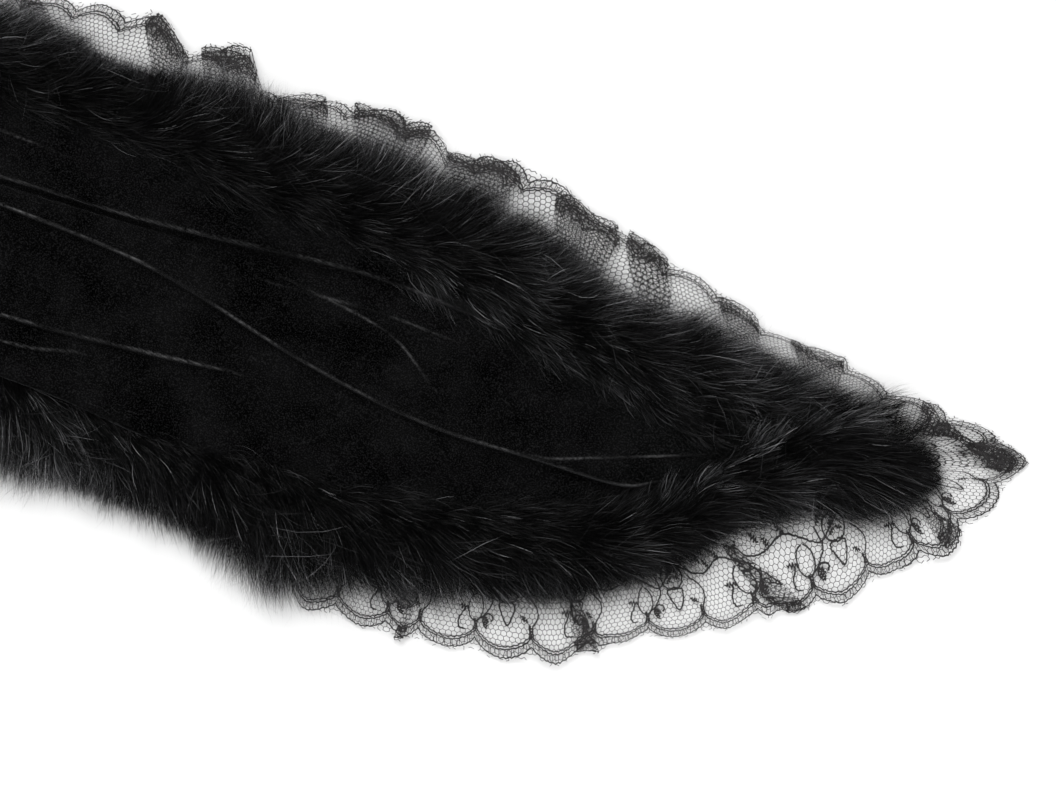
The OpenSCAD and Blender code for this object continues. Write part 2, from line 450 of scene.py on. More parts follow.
def pleat_rise(back, across, pleat):
    """Height of one pleat and how near its crest each point is, as the strength of the painted highlight
    there.
    """
    line = curve_through(pleat["at"])[::-1]
    middle = np.interp(back, line[:, 0], line[:, 1])
    gradient = np.gradient(line[:, 1], line[:, 0] + 1e-9 * np.arange(len(line)))
    slope = np.interp(back, line[:, 0], gradient)
    distance = (across - middle) / np.sqrt(1 + slope**2) * pleat["lean"]
    first, last = line[0, 0], line[-1, 0]
    ends = smooth((back - first) / 26 + 0.35) * smooth((last - back) / 40 + 0.35)
    inside = (back > first - 9) & (back < last + 14)
    width = np.where(distance > 0, pleat["steep"], pleat["ramp"])
    shape = bell(distance, 0, width) * ends * inside
    fading = 0.55 + 0.5 * waves(back, 3.0 * middle, 30, int(10 * pleat["height"]) + len(pleat["at"]))
    crest = bell(distance, CREST_OFFSET, CREST_WIDTH) * ends * inside * pleat["crest"]
    crest = crest * np.clip(fading, 0.1, 1)
    return pleat["height"] * shape, crest


def velvet_height(back, across, seed):
    """Height of the velvet's face above the floor and the strength of its painted crest highlight."""
    lift = np.zeros_like(back)
    crest = np.zeros_like(back)
    for pleat in PLEATS:
        rise, line = pleat_rise(back, across, pleat)
        lift = np.maximum(lift, rise) + 0.35 * np.minimum(lift, rise)
        crest = np.maximum(crest, line)
    slit = curve_through(SLIT)[::-1]
    distance = across - np.interp(back, slit[:, 0], slit[:, 1])
    ends = between(back, slit[0, 0], slit[-1, 0], 30, 60)
    lift = lift - SLIT_DEPTH * ends * np.exp(-((distance / SLIT_HALF) ** 4))
    crest = crest * (1 - 0.8 * ends * (np.abs(distance) < SLIT_HALF * 0.7))
    swell = 0.9 + 0.55 * waves(back, across, 70, seed) + 0.16 * waves(back, across, 17, seed + 1)
    return VELVET_Z - 0.3 + np.maximum(lift + swell, -0.5), crest


def velvet_face(half, seed):
    """The panel as a sheet whose long edges are turned under."""
    back, share = rows_and_shares(up_to_seam(VELVET_BACK + 0.2, 1.25), 172)
    across = velvet_edge(HEM, back) * (1 - share) + velvet_edge(NECK, back) * share
    z, crest = velvet_height(back, across, seed)
    to_edge = np.minimum(across - velvet_edge(HEM, back), velvet_edge(NECK, back) - across)
    overhang = between(back, 300, TIP_RUN - 40, 60, 60)
    z = z + HEM_OVERHANG * overhang * bell(across, velvet_edge(HEM, back), 9)
    roll = np.sqrt(np.clip(1 - (1 - np.clip(to_edge / EDGE_ROLL, 0, 1)) ** 2, 0, 1))
    z = (VELVET_Z - 1.0) + (z - VELVET_Z + 1.0) * (0.25 + 0.75 * roll)
    seam = np.clip(1 - (TIP_RUN - back - MIDDLE) / 2.0, 0, 1)
    z = z - SEAM_DEPTH * seam**2

    def turned_under(column, side):
        """The two further columns of a turned edge, as X, Y, Z and crest highlight."""
        edge = across[:, column]
        columns = []
        for inward, drop in ((0.0, 0.5), (2.5, 0.7)):
            inside = edge - side * np.minimum(inward, np.abs(edge))
            columns.append((*lay(back[:, column], inside), z[:, column] - drop, np.zeros(len(edge))))
        return [np.stack(part, 1) for part in zip(*columns[::side])]

    face = (*lay(back, across), z, crest)
    x, y, z, crest = (np.concatenate(parts, 1)
                      for parts in zip(turned_under(0, HEM), face, turned_under(-1, NECK)))
    piece = grid_piece("velvet_face_" + half + "_cloth", x, y, z, half == "left")
    # The crest attribute carries the strength of the painted highlight along the pleats.
    float_attribute(piece, "crest", crest)
    finish_piece(piece, half, [VELVET], ["velvet_face_" + half], True)


def lining(half, seed):
    """The satin back: one sheet, softly puckered along its edges."""
    back, share = rows_and_shares(up_to_seam(PELT_BACK + 0.5, 4.0), 70)
    across = pelt_edge(HEM, back) * (1 - share) + pelt_edge(NECK, back) * share
    to_edge = np.minimum(share, 1 - share) * 2
    pucker = waves(back, across, 60, seed) * 0.5
    pucker = pucker + waves(back * 2.2, across * 0.4, 18, seed + 3) * (1 - to_edge)
    z = 0.32 + 0.28 * np.clip(pucker, -1, 1)
    piece = grid_piece("lining_" + half + "_cloth", *lay(back, across), z, half == "left", flip=True)
    finish_piece(piece, half, [SATIN], ["lining_" + half], True)


# ---------------------------------------------------------------- fur
def fur_inner(side, back):
    """Across position of a fur strip's inner edge: along the velvet, then along the mitre."""
    beside_velvet = velvet_edge(side, back) - side * SEAM_ALLOWANCE
    mitre = mitre_line(back)
    if side == HEM:
        mitre = np.minimum(mitre, pelt_edge(NECK, back))
    return np.where(back > VELVET_BACK, beside_velvet, mitre)


# Angle of the hairs from the way to the tip, positive outwards, as (back, at inner edge, at outer edge).
HAIR_FLOW = {
    NECK: [(55, 5, 30), (95, -6, 26), (165, -16, 18), (205, -20, 30), (250, -16, 46), (290, -6, 72),
           (335, 6, 88), (395, 16, 86), (440, 14, 52), (600, 10, 62), (760, 14, 70)],
    HEM: [(55, 0, 36), (75, -12, 22), (110, -50, 6), (135, -50, 18), (185, -14, 34), (245, 12, 60),
          (275, 20, 76), (310, 28, 66), (380, 44, 70), (440, 50, 74), (600, 34, 64), (760, 30, 70)],
}


# Edge of the pile on each side, where the ends of the hairs lie, as (back, across).
PILE_OUTLINE = {
    NECK: [(30, 15), (50, 27), (75, 31), (130, 55), (165, 54), (230, 82), (285, 87), (315, 82), (360, 89),
           (400, 74), (430, 88), (500, 92)],
    HEM: [(30, 12), (50, 22), (95, 26), (110, 29), (125, 51), (160, 67), (220, 84), (275, 103), (300, 100),
          (310, 89), (365, 85), (385, 94), (500, 93)],
}
PILE_END = 31.0
# How far stray hairs may reach past the outline.
FLYAWAY = 4.5
# Hairs are cut off this far past the outline on average, with this spread.
TRIM_SPARE, TRIM_SPREAD = 2.5, 1.5
SEAM_ALLOWANCE = 1.5
# The backing swells by this much at most, and the hem strip by more where it lies on top at the mitre.
SWELL, MITRE_SWELL = 5.0, 5.5
HAIR_FLOOR, ROOT_SINK = 0.4, 0.6


def unlay(x, y):
    """Back and across of places on the right half."""
    turn = np.arctan2(x - BEND_START, BEND_RADIUS - y)
    bent = x > BEND_START
    across = np.where(bent, BEND_RADIUS - np.hypot(x - BEND_START, BEND_RADIUS - y), y)
    return TIP_RUN - np.where(bent, BEND_START + BEND_RADIUS * turn, x), across


def trim_to_outline(rng, path, spare=0.0):
    """Shortens the hairs that would reach past the pile's edge, raggedly."""
    root_back, root_across = unlay(path[:, 0, 0], path[:, 0, 1])
    tip_back, tip_across = unlay(path[:, -1, 0], path[:, -1, 1])
    place = path[:, 0, 0], path[:, 0, 1]
    ragged = spare + rng.normal(TRIM_SPARE, TRIM_SPREAD, len(path))
    ragged = ragged + 3.2 * waves(*place, 4.5, 77) + 2.2 * waves(*place, 13, 78)
    keep = np.ones(len(path))
    for side in (NECK, HEM):
        limit = at_back(PILE_OUTLINE[side], tip_back) + ragged
        gone, start = side * tip_across, side * root_across
        shorter = (limit - start) / np.maximum(gone - start, 0.5)
        keep = np.where(gone > limit, np.minimum(keep, shorter), keep)
    end = PILE_END + 1.5 * np.abs(ragged)
    shorter = (root_back - end) / np.maximum(root_back - tip_back, 0.5)
    keep = np.where(tip_back < end, np.minimum(keep, shorter), keep)
    return path[:, :1] + (path - path[:, :1]) * np.clip(keep, 0.2, 1)[:, None, None]


def hair_direction(side, back, share):
    """Angle of the hairs, in degrees, at shares of the strip's width."""
    inner, outer = (at_back(HAIR_FLOW[side], back, column) for column in (1, 2))
    return inner + (outer - inner) * smooth(share * 1.25)


def scatter(rng, side, nearest, farthest, density):
    """Root places spread evenly over a stretch of a fur strip, as back and share of the strip's width."""
    span = np.arange(nearest, farthest, 1.0)
    widths = np.maximum(0, side * (pelt_edge(side, span) - fur_inner(side, span)))
    count = int(density * widths.sum())
    cumulative = np.concatenate([[0], np.cumsum(widths)])
    back = np.interp(rng.uniform(0, cumulative[-1], count), cumulative, np.append(span, farthest))
    return back, rng.uniform(0, 1, count)


def mound(side, back, share):
    """Height of the backing's face: it swells where it is wide, and the hem strip lies on top at the mitre."""
    width = np.abs(pelt_edge(side, back) - fur_inner(side, back))
    share = np.clip(share, 0, 1)
    swell = np.minimum(SWELL, width * 0.2) * np.sin(math.pi * share) ** 0.8
    if side == HEM:
        at_mitre = between(back, MITRE_BACK, VELVET_BACK + 15, 14, 25)
        swell = swell + MITRE_SWELL * at_mitre * bell(share, 0.12, 0.16)
    return PELT_TOP + 0.4 + swell


def strand_paths(rng, kind, side, back, share, seed):
    """Paths of hairs, as an array of count by points by three, in millimetres."""
    inner, outer = fur_inner(side, back), pelt_edge(side, back)
    across = inner + (outer - inner) * share
    x, y = lay(back, across)
    z = mound(side, back, share) - ROOT_SINK
    count, segments = len(back), kind["segments"]
    drift = 15 * waves(x, y, 36, seed) + 12 * waves(x, y, 12, seed + 1) + 9 * waves(x, y, 5, seed + 6)
    angle = hair_direction(side, back, share) + drift + rng.normal(0, kind["spread"], count)
    azimuth = turn_at(back) + side * np.radians(angle)
    lift = np.radians(kind["lift"] * (1.15 - 0.8 * np.clip(share, 0, 1)) + 11 * waves(x, y, 13, seed + 2)
                      + rng.normal(0, 9, count))
    droop = np.radians(kind["droop"] + 8 * (share > 0.75))
    length = kind["length"] * (0.88 + 0.13 * waves(x, y, 20, seed + 4))
    length = length * rng.normal(1, 0.2, count).clip(0.35, 1.5)
    length = length * (kind["inner"] + (1 - kind["inner"]) * smooth((share - 0.15) / 0.65))
    # longer hairs where the pile's outline overhangs the backing
    overhang = at_back(PILE_OUTLINE[side], back) - np.abs(outer)
    length = length * (1 + (np.clip(overhang / 14, 1, 1.5) - 1) * smooth((share - 0.4) / 0.4))
    curl = np.radians(rng.normal(0, kind["curl"], count) + 20 * waves(x, y, 17, seed + 5))
    wave_phase = rng.uniform(0, 2 * math.pi, count)
    step = length / segments
    path = np.zeros((count, segments + 1, 3))
    path[:, 0] = np.stack([x, y, z], 1)
    for k in range(segments):
        u = (k + 0.5) / segments
        elevation = lift * (1 - u) ** 1.1 - droop * u
        heading = azimuth + curl * (u - 0.3) + kind["wavy"] * np.sin(wave_phase + 5 * u)
        move = np.stack([np.cos(elevation) * np.cos(heading), np.cos(elevation) * np.sin(heading),
                         np.sin(elevation)], 1)
        path[:, k + 1] = path[:, k] + move * step[:, None]
    return path


def strand_tones(rng, kind, path, side, back, share, seed, points_per_hair):
    """Lightness of each mesh point: near black at the root, paler towards the tip, varying between locks, with
    painted shade and highlight by place on the strip.
    """
    x, y = path[:, 0, 0], path[:, 0, 1]
    lock = 0.5 + 0.5 * np.tanh(1.5 * waves(x, y, 6.5, seed + 8) + 1.0 * waves(x, y, 26, seed + 9))
    single = rng.lognormal(kind["typical"], kind["variety"], len(x))
    bright = kind["tone"] * (0.05 + 0.95 * lock) * single
    # Painted shade and highlight: darker towards the strip's inner edge, where shade falls beside the velvet,
    # and paler at its outer rim for lit hair ends.
    bright = bright * (0.2 + 0.8 * np.clip(share, 0, 1) + 1.2 * (share > 0.8))
    if side == HEM:
        # a painted highlight along the crest over the mitre, and a lighter stretch past it
        bright = bright * (1 + 10 * smooth((165 - back) / 30) * bell(share, 0.09, 0.09))
        bright = bright * (1 + 1.6 * between(back, 330, 560, 50, 60))
    else:
        # a painted highlight on the outer edge, a lighter inner edge, and a darker end at the tip
        bright = bright * (1 + 1.0 * smooth((share - 0.45) / 0.4) * smooth((420 - back) / 60))
        bright = bright * (1 - 0.7 * smooth((105 - back) / 45))
        bright = bright * (1 + 1.3 * smooth((0.4 - share) / 0.2) * between(back, 120, 340, 40, 50))
        bright = bright * (1 + 1.3 * smooth((share - 0.6) / 0.3) * smooth((back - 310) / 50))
    along = np.linspace(0, 1, points_per_hair) ** kind["late"]
    return np.clip(bright[:, None] * (0.04 + 0.96 * along[None]), 0, 1)


def gather_locks(path, size, strength, rng):
    """Pulls hairs with neighbouring roots together towards their tips, as locks."""
    root = path[:, 0, :2]
    cell = np.floor(root / size + 0.35 * np.sin(root[:, ::-1] / size * 2.3)).astype(int)
    _, lock = np.unique(cell, axis=0, return_inverse=True)
    lock = lock.ravel()
    members = np.bincount(lock)
    centre = np.zeros((len(members),) + path.shape[1:])
    np.add.at(centre, lock, path)
    centre /= members[:, None, None]
    share = np.linspace(0, 1, path.shape[1]) ** 1.4
    pull = strength * rng.uniform(0.5, 1.2, len(members))[lock]
    return path + (centre[lock] - path) * (share[None, :, None] * pull[:, None, None])


def ribbon_mesh(paths, widths, rng, tilt):
    """Tapered flat hairs along paths: points, quads and tip triangles."""
    count, points, _ = paths.shape
    along = np.gradient(paths, axis=1)
    along /= np.linalg.norm(along, axis=2, keepdims=True) + 1e-9
    flat = np.cross(along, np.array([0, 0, 1.0]))
    flat /= np.linalg.norm(flat, axis=2, keepdims=True) + 1e-9
    raised = np.cross(flat, along)
    roll = rng.uniform(-tilt, tilt, count)[:, None, None]
    across = flat * np.cos(roll) + raised * np.sin(roll)
    profile = np.interp(np.linspace(0, 1, points), [0, 0.25, 0.6, 1], [0.75, 1, 0.8, 0.2])
    half = 0.5 * widths[:, None, None] * profile[None, :, None]
    left_side, right_side = paths - across * half, paths + across * half
    body = np.stack([left_side[:, :-1], right_side[:, :-1]], 2).reshape(count, -1, 3)
    vertices = np.concatenate([body, paths[:, -1:]], 1)
    per = vertices.shape[1]
    base = np.arange(count)[:, None] * per
    k = np.arange(points - 2)[None, :] * 2
    quads = np.stack([base + k, base + k + 1, base + k + 3, base + k + 2], 2).reshape(-1, 4)
    tris = np.concatenate([base + per - 3, base + per - 2, base + per - 1], 1)
    return vertices.reshape(-1, 3), quads, tris


def hair(length, width, segments=4, **habit):
    """A kind of hair, in millimetres and degrees.

    lift and droop tilt its root up and its end down; spread, curl and wavy bend it; tilt turns its flat side.
    tone, typical, variety and late set how pale its end is; inner is its length at the strip's inner edge.
    """
    return dict(length=length, width=width, segments=segments, **habit)


WOOL = hair(12, 0.12, 3, lift=38, droop=3, spread=34, curl=40, wavy=0.35, tilt=1.1,
            tone=0.36, typical=-0.5, variety=0.8, late=1.4, inner=0.75)
# Its wide spread of tones leaves a few strands far paler than the rest: painted highlights that stand in for
# glints along the guard hairs.
GUARD_HAIR = hair(26, 0.1, lift=36, droop=7, spread=15, curl=9, wavy=0.05, tilt=1.0,
                  tone=0.36, typical=-2.5, variety=1.75, late=2.4, inner=0.55)
STRAY = hair(26, 0.075, lift=32, droop=4, spread=42, curl=30, wavy=0.1, tilt=0.9,
             tone=0.42, typical=-0.5, variety=0.8, late=1.5, inner=0.7)
FRINGE = hair(9, 0.08, 3, lift=20, droop=6, spread=55, curl=50, wavy=0.3, tilt=0.9,
              tone=0.4, typical=-0.5, variety=0.8, late=1.4, inner=1.0)
MIST = hair(17, 0.1, 3, lift=16, droop=8, spread=30, curl=36, wavy=0.25, tilt=0.8,
            tone=0.7, typical=-0.4, variety=0.5, late=0.8, inner=1.0)
TUFT = hair(42, 0.1, lift=15, droop=6, spread=18, curl=18, wavy=0.1, tilt=1.0,
            tone=0.24, typical=-2.4, variety=1.7, late=2.2, inner=0.8)
ROOT_HAIR = hair(19, 0.1, lift=24, droop=4, spread=22, curl=20, wavy=0.15, tilt=1.0,
                 tone=0.5, typical=-1.2, variety=1.1, late=1.6, inner=1.0)
# Each kind with its share of the hairs and the size and strength of its locks.
MIX = [(WOOL, 0.4, (4.5, 0.3)), (GUARD_HAIR, 0.41, (3.0, 0.5)), (STRAY, 0.04, None), (FRINGE, 0.05, None),
       (MIST, 0.1, (4.0, 0.35)), (ROOT_HAIR, 0.07, (3.0, 0.4))]
TUFTS = [(TUFT, 1, (4, 0.5))]
BIG_LOCKS = 11.0, 0.2
# Kinds whose roots lie in one band of the strip, as shares of its width.
ROOT_BANDS = [(FRINGE, -0.14, 0.1), (ROOT_HAIR, -0.13, 0.12), (STRAY, 0.5, 1.05), (MIST, 0.8, 1.02)]


def fur_roots(rng, kind, side, nearest, farthest, density):
    """Back and share of the strip's width of each root of one kind of hair."""
    back, share = scatter(rng, side, nearest, farthest, density)
    for banded, lowest, highest in ROOT_BANDS:
        if kind is banded:
            share = rng.uniform(lowest, highest, len(share))
    if kind is TUFT:
        back = nearest + (farthest - nearest) * rng.random(len(back)) ** 1.8
        share = rng.uniform(0.2, 1.08, len(share))
    return back, share


def fur_stretch(name, half, side, nearest, farthest, density, seed, crosses_fold=False, coarse=1.0, mix=MIX):
    """One stretch of pile with all its kinds of hair, as one mesh."""
    rng = np.random.default_rng(seed)
    points, quads, tris, tones, which = [], [], [], [], [[], []]
    start = 0
    for kind, share_of_hairs, locks in mix:
        back, share = fur_roots(rng, kind, side, nearest, farthest, density * share_of_hairs)
        if crosses_fold:
            mirrored = rng.random(len(back)) < 0.5
        noise_seed = 40 + 10 * (half == "left")
        path = strand_paths(rng, kind, side, back, share, noise_seed)
        if locks:
            path = gather_locks(path, *BIG_LOCKS, rng)
            path = gather_locks(path, *locks, rng)
        path = trim_to_outline(rng, path, FLYAWAY if kind is STRAY else 0.0)
        path[..., 2] = np.clip(path[..., 2], HAIR_FLOOR, PILE_TOP - 0.5)
        if crosses_fold:
            path[mirrored, :, 0] *= -1
        widths = kind["width"] * coarse * rng.uniform(0.6, 1.25, len(back))
        vertices, some_quads, some_tris = ribbon_mesh(path, widths, rng, kind["tilt"])
        tone = strand_tones(rng, kind, path, side, back, share, noise_seed, kind["segments"] + 1)
        points.append(vertices)
        tones.append(np.concatenate([np.repeat(tone[:, :-1], 2, axis=1), tone[:, -1:]], 1).ravel())
        quads.append(some_quads + start)
        tris.append(some_tris + start)
        slot = 0 if kind in (WOOL, FRINGE, MIST) else 1
        which[0].append(np.full(len(some_quads), slot))
        which[1].append(np.full(len(some_tris), slot))
        start += len(vertices)
    piece = mesh_piece(name, np.concatenate(points), np.concatenate(quads), np.concatenate(tris),
                       left=half == "left")
    float_attribute(piece, "tone", np.concatenate(tones))
    piece.data.polygons.foreach_set("material_index", np.concatenate(which[0] + which[1]).astype(np.int32))
    plan_map(piece)
    nodes = ["fur_trim_" + EDGE_NAME[side] + "_" + half]
    if crosses_fold:
        nodes = ["fur_trim_" + EDGE_NAME[side] + "_" + h for h in HALVES]
    finish_piece(piece, half, [UNDERFUR, GUARD], nodes, crosses_fold)


def fur_backing(half, side):
    """The dark swollen backing under the hairs, closed underneath."""
    rows = up_to_seam(PELT_BACK + 1.0, 3.0)
    if side == NECK:
        rows = rows[rows > MITRE_BACK + 4]
    back, share = rows_and_shares(rows, 15)
    pile_inner, outer = fur_inner(side, back), pelt_edge(side, back)
    inner = np.where(back > VELVET_BACK, pile_inner - side * 6, pile_inner)
    across = inner + (outer - inner) * share
    x, y = lay(back, across)
    pile_share = (across - pile_inner) / (outer - pile_inner + side * 0.01)
    top = mound(side, back, pile_share) - 0.5 + 0.3 * waves(x, y, 7, 5) * np.sin(math.pi * share)
    top = np.where((pile_share < 0.03) & (back > VELVET_BACK), np.minimum(top, PELT_TOP - 0.1), top)
    x, y, z, closing = over_and_under(x, y, top, np.full_like(top, PELT_Z))
    name = "_" + EDGE_NAME[side] + "_" + half
    piece = grid_piece("fur_backing" + name, x, y, z, half == "left", side == HEM, [closing])
    finish_piece(piece, half, [SKIN], ["fur_trim" + name], True)


# ---------------------------------------------------------------- lace
# The flat lace: u runs along it and v from the gathers to the scallops.
LACE_DEPTH = 41.0
SCALLOP, DIP = 24.0, 6.0
RIM_INSET = 0.8
BORDER = 3.4
NET_SIDE, NET_ROOM = 1.3, 0.1
BAR_PITCH, BAR_START = 1.5, 0.4
NET_WIDTH, CORD_WIDTH, MOTIF_WIDTH, FILL_WIDTH = {NECK: 0.29, HEM: 0.23}, 0.52, 0.62, 0.56


def lace_outline(u):
    """Depth of the scalloped outer cord along the flat lace, with its cusps at whole numbers of scallops."""
    return LACE_DEPTH - RIM_INSET - DIP * (1 - np.abs(np.sin(math.pi * u / SCALLOP)) ** 0.8)


def net_threads(length, rng):
    """Hexagonal net of the flat lace, as segments (u, v) to (u, v)."""
    length = length + SCALLOP
    columns = int(length / (NET_SIDE * math.cos(math.pi / 6)))
    rows = int((LACE_DEPTH + 1) / (1.5 * NET_SIDE)) + 1
    i, j = np.meshgrid(np.arange(columns), np.arange(rows), indexing="ij")
    up = ((i + j) % 2 == 0)
    u = i * NET_SIDE * math.cos(math.pi / 6) + rng.normal(0, NET_ROOM, i.shape)
    v = j * 1.5 * NET_SIDE + np.where(up, 0.25, -0.25) * NET_SIDE + rng.normal(0, NET_ROOM, i.shape)
    grid = np.stack([u, v], 2)
    along = np.stack([grid[:-1], grid[1:]], 2).reshape(-1, 2, 2)
    rungs = np.stack([grid[:, :-1], grid[:, 1:]], 2)[up[:, :-1]].reshape(-1, 2, 2)
    threads = np.concatenate([along, rungs])
    beyond = (threads[:, :, 1] - lace_outline(threads[:, :, 0])).max(1)
    # past the cord the net is cut away, with a few ends left on a shallower scallop
    shallow = LACE_DEPTH - 0.6 - 2.2 * (1 - np.abs(np.sin(math.pi * threads[:, 0, 0] / SCALLOP)))
    cut = threads[:, :, 1].max(1) - shallow
    most, some = (rng.random(len(threads)) < share for share in (0.9, 0.3))
    keep = (beyond < 0) | ((cut < 0) & most) | ((cut < 1.2) & some)
    return threads[keep & (threads[:, :, 1].min(1) > 0)]


def chain(points):
    return np.stack([points[:-1], points[1:]], 1)


def border_threads(length, rng):
    """The outer cord, the double inner cord and the bars between them."""
    u = np.arange(0, length + SCALLOP, 0.75)
    rows = []
    for inset, amount in ((0, 0.24), (BORDER, 0.2), (BORDER + 1.1, 0.26)):
        wobble = amount * np.sin(u * 2 * math.pi / 2.3 + inset) + rng.normal(0, 0.1, len(u))
        rows.append(chain(np.stack([u, lace_outline(u) - inset + wobble], 1)))
    even = np.arange(BAR_START, length + SCALLOP, BAR_PITCH)
    shift = rng.normal(0, 0.25, int((length + SCALLOP - BAR_START) / BAR_PITCH) + 1)
    bar = even + shift[:len(even)]
    lean = rng.normal(0, 0.55, len(bar))
    top = np.stack([bar, lace_outline(bar)], 1)
    bottom = np.stack([bar + lean, lace_outline(bar + lean) - BORDER], 1)
    return np.concatenate(rows), np.stack([top, bottom], 1)


def arc(centre, radius, start, end, steps=12, squeeze=1.0):
    angle = np.radians(np.linspace(start, end, steps))
    return np.stack([centre[0] + radius * squeeze * np.cos(angle), centre[1] + radius * np.sin(angle)], 1)


def spiral(centre, start_radius, end_radius, start_angle, turns, steps=22):
    t = np.linspace(0, 1, steps)
    radius = start_radius + (end_radius - start_radius) * t
    angle = start_angle + turns * 2 * math.pi * t
    return np.stack([centre[0] + radius * np.cos(angle), centre[1] + radius * np.sin(angle)], 1)


def filled_leaf(base, tip, width, steps=9):
    """A leaf worked solid: a zigzag between two bulging sides."""
    base, tip = np.array(base, float), np.array(tip, float)
    t = np.linspace(0, 1, steps)[:, None]
    side = np.array([-(tip - base)[1], (tip - base)[0]])
    side = side / np.linalg.norm(side) * width / 2
    way = np.where(np.arange(steps) % 2, 1, -1)[:, None]
    middle = base + (tip - base) * t
    return [chain(middle + way * np.sin(math.pi * np.clip(t, 0.08, 0.92)) * side)]


def motif_threads(length, rng):
    """Stems at the cusps; ovals, curls, drops, round flowers and solid leaves above them, alternating."""
    outlines, fills = [], []
    rim = LACE_DEPTH - RIM_INSET - DIP - BORDER

    def vine(steps, *points):
        """A curve through points given from the cusp: along the lace, and in from the rim."""
        outlines.append(chain(curve_through([(cusp + u, rim - v) for u, v in points], steps)))

    def leaf(base, tip, width):
        fills.extend(filled_leaf((cusp + base[0], rim - base[1]), (cusp + tip[0], rim - tip[1]), width))

    for k in range(int(length / SCALLOP) + 2):
        cusp = k * SCALLOP
        way = 1 if k % 2 else -1
        for side in (-0.6, 0.6):
            vine(3, (side * 1.8, -0.3), (side, 2.0), (side * 1.3, 4.6))
        leaf((0, 0.3), (0.3, 4.8), 1.0)
        if k % 2:
            outlines.append(chain(arc((cusp + 0.5, rim - 9.4), 5.6, -80, 260, 18, 0.66)))
            leaf((4.0, 8.6), (8.8, 9.6), 2.3)
            vine(5, (5.6, 8.2), (8.0, 4.0), (7.6, 0.2), (5.0, -0.4))
            leaf((-4.0, 6.4), (-6.4, 4.0), 1.3)
            vine(6, (-1.0, 4.4), (-4.2, 7.0), (-7.6, 12.6), (-6.0, 19))
        else:
            vine(6, (-0.8, 4.4), (-3.2, 8.2), (-2.2, 12.4), (2.6, 16.5))
            leaf((1.2, 6.0), (4.4, 8.2), 1.5)
            # a drop with a round flower over it, and a curl that ends in a leaf
            vine(5, (6.6, 12.2), (7.4, 8.0), (9.6, 4.0), (11.4, 7.0), (13.4, 12.0), (10.0, 13.2), (6.6, 12.2))
            flower = np.array([cusp + 10.0, rim - 17.4])
            outlines.append(chain(arc(flower, 4.9, 0, 360, 22)))
            for angle in (40, 160, 280):
                reach = np.array([math.cos(math.radians(angle)), math.sin(math.radians(angle))])
                fills += filled_leaf(flower + 0.6 * reach, flower + 3.4 * reach, 1.2, 7)
            curl = spiral((cusp + 17.2, rim - 5.2), 0.8, 4.1, 2.4, 0.82)
            outlines.append(chain(curl))
            fills += filled_leaf(curl[-1], curl[-1] + np.array([1.6, -4.2]), 2.2)
        # the running vine higher up
        vine(6, (0, 17.1), (6, 20.5 - way), (12, 17.5), (17, 15.0 + way), (SCALLOP, 17.1))
        for u, v in ((6.0, 19.2), (12.5, 17.1), (17.0, 19.6)):
            leaf((u, v), (u + 2.6 * way, v + 3.4), 2.0)
    outlines, fills = np.concatenate(outlines), np.concatenate(fills)
    return outlines + rng.normal(0, 0.12, outlines.shape), fills + rng.normal(0, 0.1, fills.shape)


# How far each ruffle starts before the tip, on the other side.
LAP = 16.0
# The neck ruffle is worked with motifs only up to here; the rest of it is plain net between its cords.
WORKED_END = 96.0
# The neck ruffle's first stretch is bunched into a narrow band from the fur to the tip, with these ends.
BUNCH, BUNCH_WIDTH = 27.0, 7.5
BUNCH_FROM, BUNCH_TO = (42.0, 15.0), (5.0, -2.0)
# How far the ruffle's edge stands in from its even curve, as (back, millimetres).
EDGE_DENT = {
    NECK: [(0, 0), (50, 10), (95, 14), (135, 11), (180, 3), (250, 2), (265, 6), (275, 0), (320, 7),
           (345, 13), (355, 0), (380, 5), (395, -5), (440, 9), (520, 0)],
    HEM: [(0, 0), (35, -6), (50, 2), (70, -2), (90, 6), (110, 2), (140, 9), (170, 0)],
}


PATH_WINDOW, FOLD_WINDOW = 61, 7


def rounded_off(values, window):
    """A running mean, weighted to the middle of its window."""
    kernel = np.hanning(window) / np.hanning(window).sum()
    return np.convolve(np.pad(values, window // 2, mode="edge"), kernel, "valid")


def one_edge_path(side):
    """Matching inner and outer paths of a ruffle on one side of the tip, evenly spaced on the outer one."""
    # places close together at the tip, where the edge turns sharply
    fine = np.concatenate([np.linspace(0, 40, 200) ** 2 / 40, up_to_seam(40.5, 0.5)])
    outer = np.stack(lay(fine, lace_edge(side, fine)), 1)
    run = np.concatenate([[0], np.cumsum(np.linalg.norm(np.diff(outer, axis=0), axis=1))])
    even = np.append(np.arange(0, run[-1], 1.0), run[-1])
    back = np.interp(even, run, fine)
    outer = np.stack([np.interp(even, run, outer[:, k]) for k in (0, 1)], 1)
    hidden_back = np.linspace(PELT_BACK + 5, SEAM_BACK, 1400)
    heading = 5.0 + 9.0 * smooth((hidden_back - 80) / 100)
    pelt = pelt_edge(side, hidden_back)
    hidden = np.stack(lay(hidden_back, pelt - side * np.minimum(heading, np.abs(pelt))), 1)
    nearest = np.argmin(((outer[:, None] - hidden[None]) ** 2).sum(2), axis=1)
    nearest = np.maximum.accumulate(nearest)
    smoothed = rounded_off(nearest, PATH_WINDOW)
    index = np.arange(len(hidden))
    inner = np.stack([np.interp(smoothed, index, hidden[:, k]) for k in (0, 1)], 1)
    return even, back, inner, outer


def edge_paths(side):
    """As one_edge_path, but starting LAP before the tip, on the other side."""
    even, back, inner, outer = one_edge_path(side)
    before, back_before, inner_before, outer_before = one_edge_path(-side)
    lap = slice(int(LAP), 0, -1)
    return (np.concatenate([-before[lap], even]), np.concatenate([-back_before[lap], back]),
            np.concatenate([inner_before[lap], inner]), np.concatenate([outer_before[lap], outer]))


